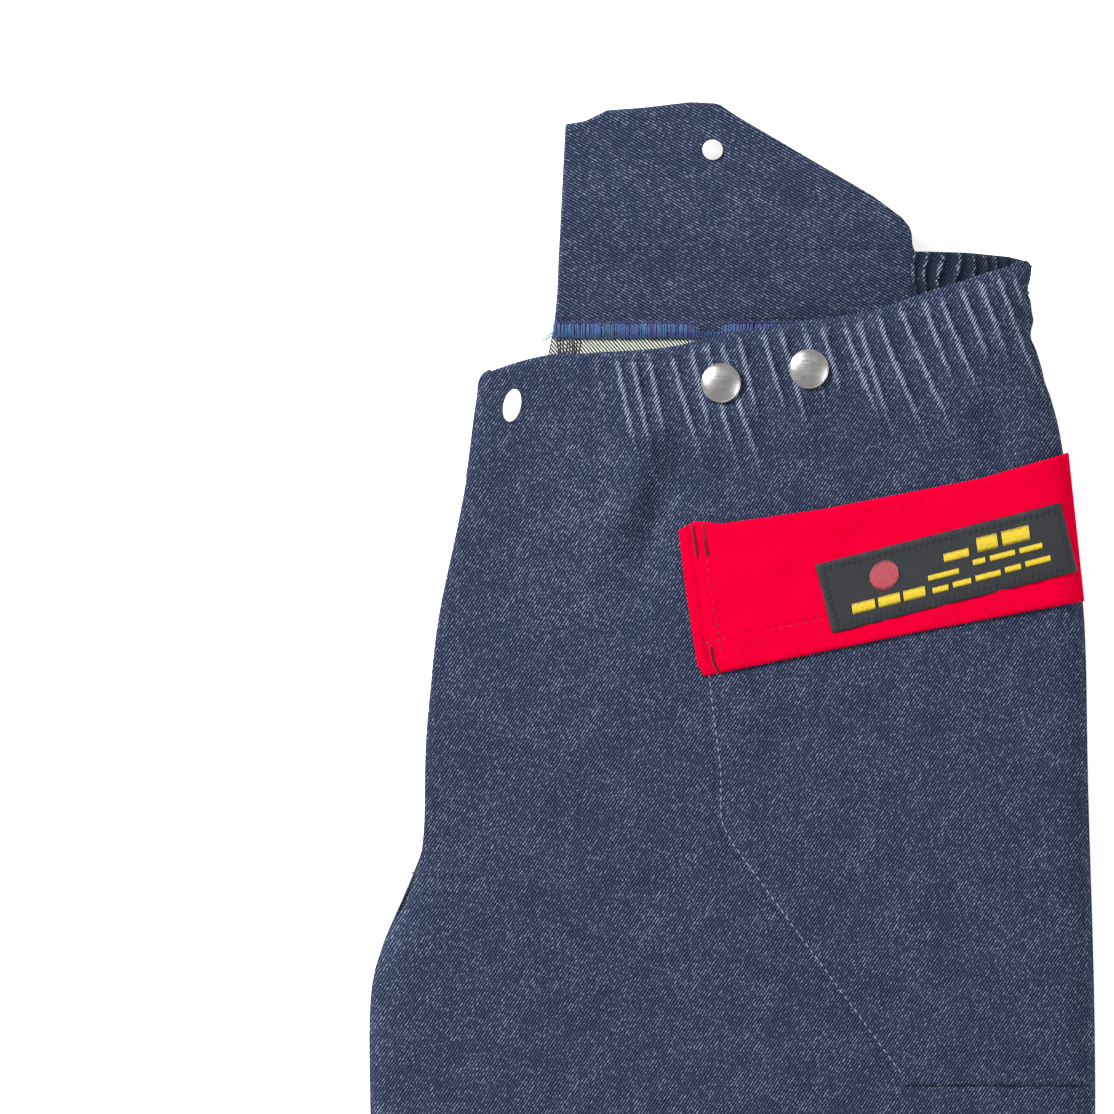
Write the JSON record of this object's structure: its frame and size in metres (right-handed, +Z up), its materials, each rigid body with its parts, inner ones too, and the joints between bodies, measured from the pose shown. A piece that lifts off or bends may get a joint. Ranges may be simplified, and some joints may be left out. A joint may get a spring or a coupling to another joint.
{
  "type": "chainsaw protective trousers",
  "caption": "Padded denim chainsaw trousers laid flat, folded in half: gathered waist, raised back, brace buttons, red pocket band.",
  "frame": {"origin": "centre of the folded garment's box, on the surface it lies on", "axes": "+X from the inseam to the outseam, +Y from the cuffs to the waist, +Z up off the surface, away from the right leg"},
  "size_m": [0.3081, 1.14, 0.0459],
  "materials": {
    "denim": "raw indigo twill, matt",
    "red_knit": "fine ribbed knit, matt",
    "label_cloth": "woven damask, slight sheen",
    "pad_fibre": "needled ballistic fibre, matt",
    "lining": "plain woven lining, matt",
    "elastic": "woven elastic, matt",
    "zip_tape": "herringbone tape, matt",
    "nickel": "brushed nickel",
    "brass": "satin brass"
  },
  "bodies": {
    "hips": {"left_front_panel": "denim", "left_back_panel": "denim", "left_front_elastic": "elastic", "left_back_elastic": "elastic", "left_back_waist_facing": "denim", "left_thigh_pad_outer": "pad_fibre", "left_thigh_pad_inner": "pad_fibre", "left_thigh_lining": "lining", "left_outseam_upper": "denim", "left_inseam_upper": "denim", "left_pocket_patch": "denim", "left_pocket_band": "red_knit", "right_front_panel": "denim", "right_back_panel": "denim", "right_front_elastic": "elastic", "right_back_elastic": "elastic", "right_back_waist_facing": "denim", "right_thigh_pad_outer": "pad_fibre", "right_thigh_pad_inner": "pad_fibre", "right_thigh_lining": "lining", "right_outseam_upper": "denim", "right_inseam_upper": "denim", "right_pocket_patch": "denim", "right_pocket_band": "red_knit", "left_label": "label_cloth", "right_zip_tape": "zip_tape", "fly_button_nail": "nickel", "left_inner_button_nail": "nickel", "left_outer_button_nail": "nickel", "right_inner_button_nail": "nickel", "right_outer_button_nail": "nickel"},
    "shins": {"left_shin_front": "denim", "left_shin_back": "denim", "left_shin_pad": "pad_fibre", "left_outseam_lower": "denim", "left_inseam_lower": "denim", "left_cuff_hem": "denim", "right_shin_front": "denim", "right_shin_back": "denim", "right_shin_pad": "pad_fibre", "right_outseam_lower": "denim", "right_inseam_lower": "denim", "right_cuff_hem": "denim"},
    "high_back": {"left_high_back": "denim", "left_high_back_facing": "denim", "right_high_back": "denim", "right_high_back_facing": "denim", "left_high_back_button_nail": "nickel", "right_high_back_button_nail": "nickel"},
    "left_fly": {"left_fly_front": "denim", "left_fly_facing": "denim", "left_zip_tape": "zip_tape"},
    "zip_slider": {"zip_slider": "brass"},
    "left_inner_button_cap": {"left_inner_button_cap": "nickel"},
    "left_outer_button_cap": {"left_outer_button_cap": "nickel"},
    "right_inner_button_cap": {"right_inner_button_cap": "nickel"},
    "right_outer_button_cap": {"right_outer_button_cap": "nickel"},
    "left_high_back_button_cap": {"left_high_back_button_cap": "nickel"},
    "right_high_back_button_cap": {"right_high_back_button_cap": "nickel"},
    "fly_button_cap": {"fly_button_cap": "nickel"}
  },
  "joints": [
    {"name": "knee_fold", "type": "hinge", "parent": "hips", "child": "shins", "pos_m": [0, -0.15, 0.046], "axis": [-1, 0, 0], "range_deg": [0, 175]},
    {"name": "high_back_fold", "type": "hinge", "parent": "hips", "child": "high_back", "pos_m": [0, 0.507, 0.038], "axis": [1, 0, 0], "range_deg": [0, 170]},
    {"name": "fly_fold", "type": "hinge", "parent": "hips", "child": "left_fly", "pos_m": [-0.061, 0.464, 0.043], "axis": [0.4155, 0.9096, 0], "range_deg": [0, 160]},
    {"name": "zip_slide", "type": "slide", "parent": "hips", "child": "zip_slider", "axis": [0.2504, 0.9681, 0], "range_m": [0, 0.105]},
    {"name": "left_inner_button_swivel", "type": "hinge", "parent": "hips", "child": "left_inner_button_cap", "pos_m": [-0.0049, 0.4507, 0.0449], "axis": [0, 0, 1], "continuous": true},
    {"name": "left_outer_button_swivel", "type": "hinge", "parent": "hips", "child": "left_outer_button_cap", "pos_m": [0.0325, 0.4566, 0.0449], "axis": [0, 0, 1], "continuous": true},
    {"name": "right_inner_button_swivel", "type": "hinge", "parent": "hips", "child": "right_inner_button_cap", "pos_m": [-0.0049, 0.4507, 0], "axis": [0, 0, 1], "continuous": true},
    {"name": "right_outer_button_swivel", "type": "hinge", "parent": "hips", "child": "right_outer_button_cap", "pos_m": [0.0325, 0.4566, 0], "axis": [0, 0, 1], "continuous": true},
    {"name": "left_high_back_button_swivel", "type": "hinge", "parent": "high_back", "child": "left_high_back_button_cap", "pos_m": [-0.0083, 0.5501, 0.0235], "axis": [0, 0, 1], "continuous": true},
    {"name": "right_high_back_button_swivel", "type": "hinge", "parent": "high_back", "child": "right_high_back_button_cap", "pos_m": [-0.0083, 0.5501, 0.0214], "axis": [0, 0, 1], "continuous": true},
    {"name": "fly_button_swivel", "type": "hinge", "parent": "hips", "child": "fly_button_cap", "pos_m": [-0.071, 0.449, 0], "axis": [0, 0, 1], "continuous": true}
  ]
}
